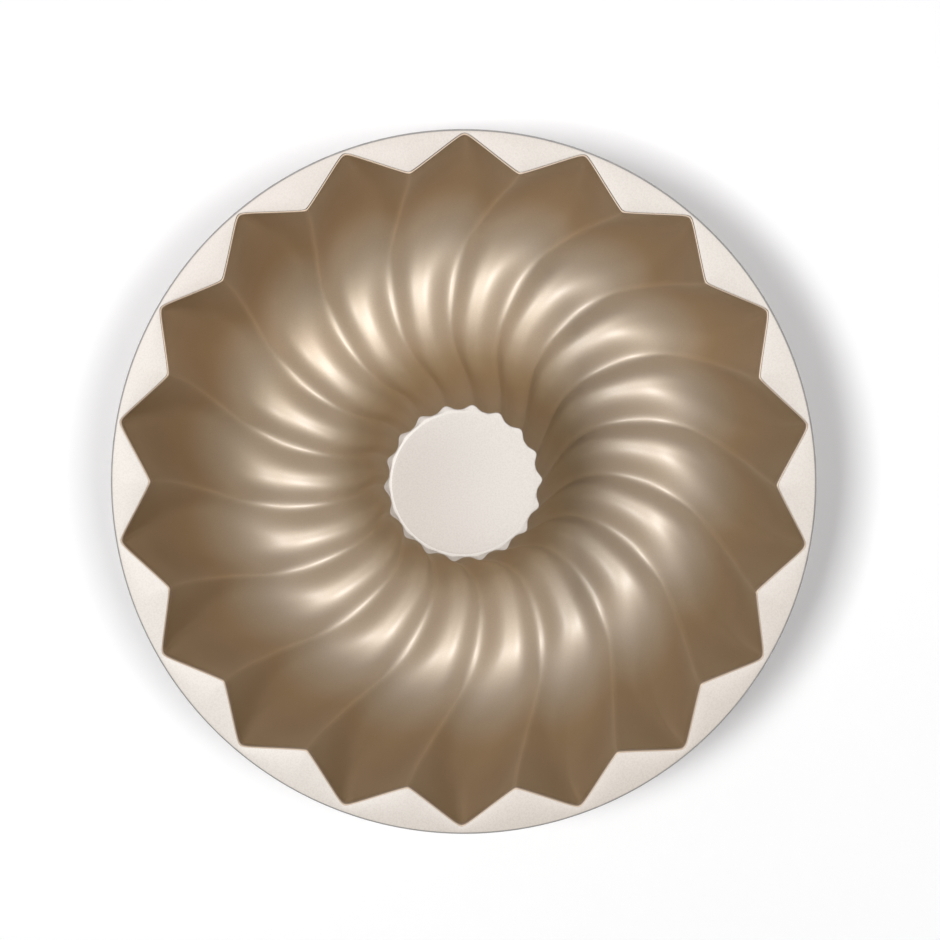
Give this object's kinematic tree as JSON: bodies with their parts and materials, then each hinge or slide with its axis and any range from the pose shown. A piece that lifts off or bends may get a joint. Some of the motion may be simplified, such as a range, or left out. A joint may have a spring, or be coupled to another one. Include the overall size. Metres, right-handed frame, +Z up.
{
  "type": "ring-cake baking mould",
  "caption": "Round ring-cake baking mould: a swirled, fluted bronze trough around a hollow capped centre tube, under a flat pale rim flange with a star-shaped opening.",
  "frame": {"origin": "on the mould's axis, in the plane of the flats that it stands on", "axes": "+Z up along the axis, toward the rim; one tip of the star-shaped opening points along +Y"},
  "size_m": [0.26, 0.26, 0.082],
  "materials": {
    "bronze_nonstick": "satin",
    "cream_coat": "matte"
  },
  "bodies": {
    "root": {"fluted_bowl": "bronze_nonstick", "center_tube": "bronze_nonstick", "rim_flange": "cream_coat", "tube_cap": "cream_coat"}
  },
  "joints": []
}
